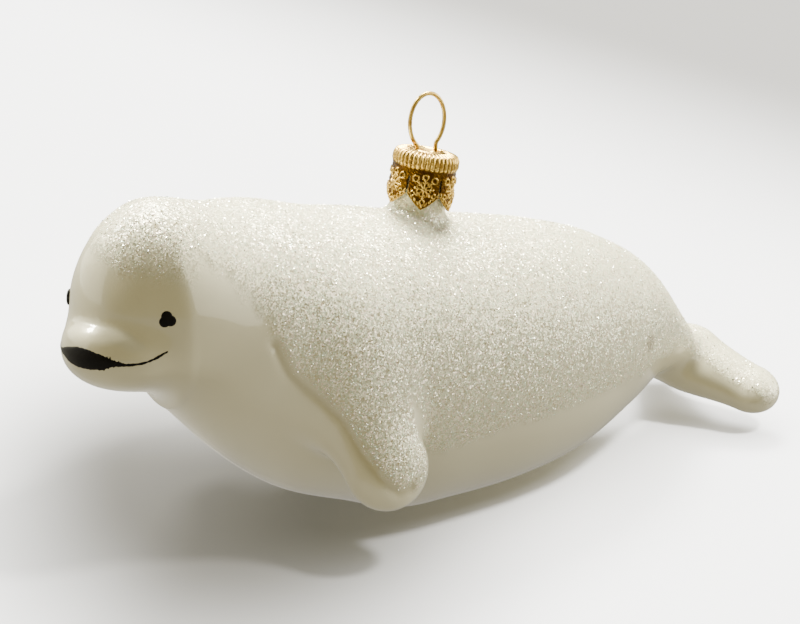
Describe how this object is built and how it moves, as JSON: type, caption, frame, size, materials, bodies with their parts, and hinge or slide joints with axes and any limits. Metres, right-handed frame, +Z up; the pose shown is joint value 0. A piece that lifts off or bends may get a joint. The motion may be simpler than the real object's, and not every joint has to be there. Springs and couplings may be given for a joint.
{
  "type": "blown-glass beluga whale ornament",
  "caption": "Hollow blown-glass hanging ornament shaped as a beluga whale, pearl white with glitter, gold crown cap and wire loop.",
  "frame": {"origin": "on the floor at the belly's rest flat, straight below the hanger cap", "axes": "+X forward along the body to the snout, +Y to the whale's left, +Z up"},
  "size_m": [0.135, 0.0596, 0.0679],
  "materials": {
    "pearl_glass": "pearl white lacquer on glass, glossy, with fine iridescent glitter on the back and flanks",
    "black_enamel": "hand-painted black enamel, glossy",
    "gold_cap": "gold-coloured stamped tinplate, embossed and bright",
    "gold_wire": "gold-coloured drawn wire, bright"
  },
  "bodies": {
    "root": {"head": "pearl_glass", "neck": "pearl_glass", "torso": "pearl_glass", "tail_stock": "pearl_glass", "fluke_left": "pearl_glass", "fluke_right": "pearl_glass", "flipper_left": "pearl_glass", "flipper_right": "pearl_glass", "eye_left": "black_enamel", "eye_right": "black_enamel", "mouth": "black_enamel", "cap": "gold_cap", "hanger_loop": "gold_wire"}
  },
  "joints": []
}
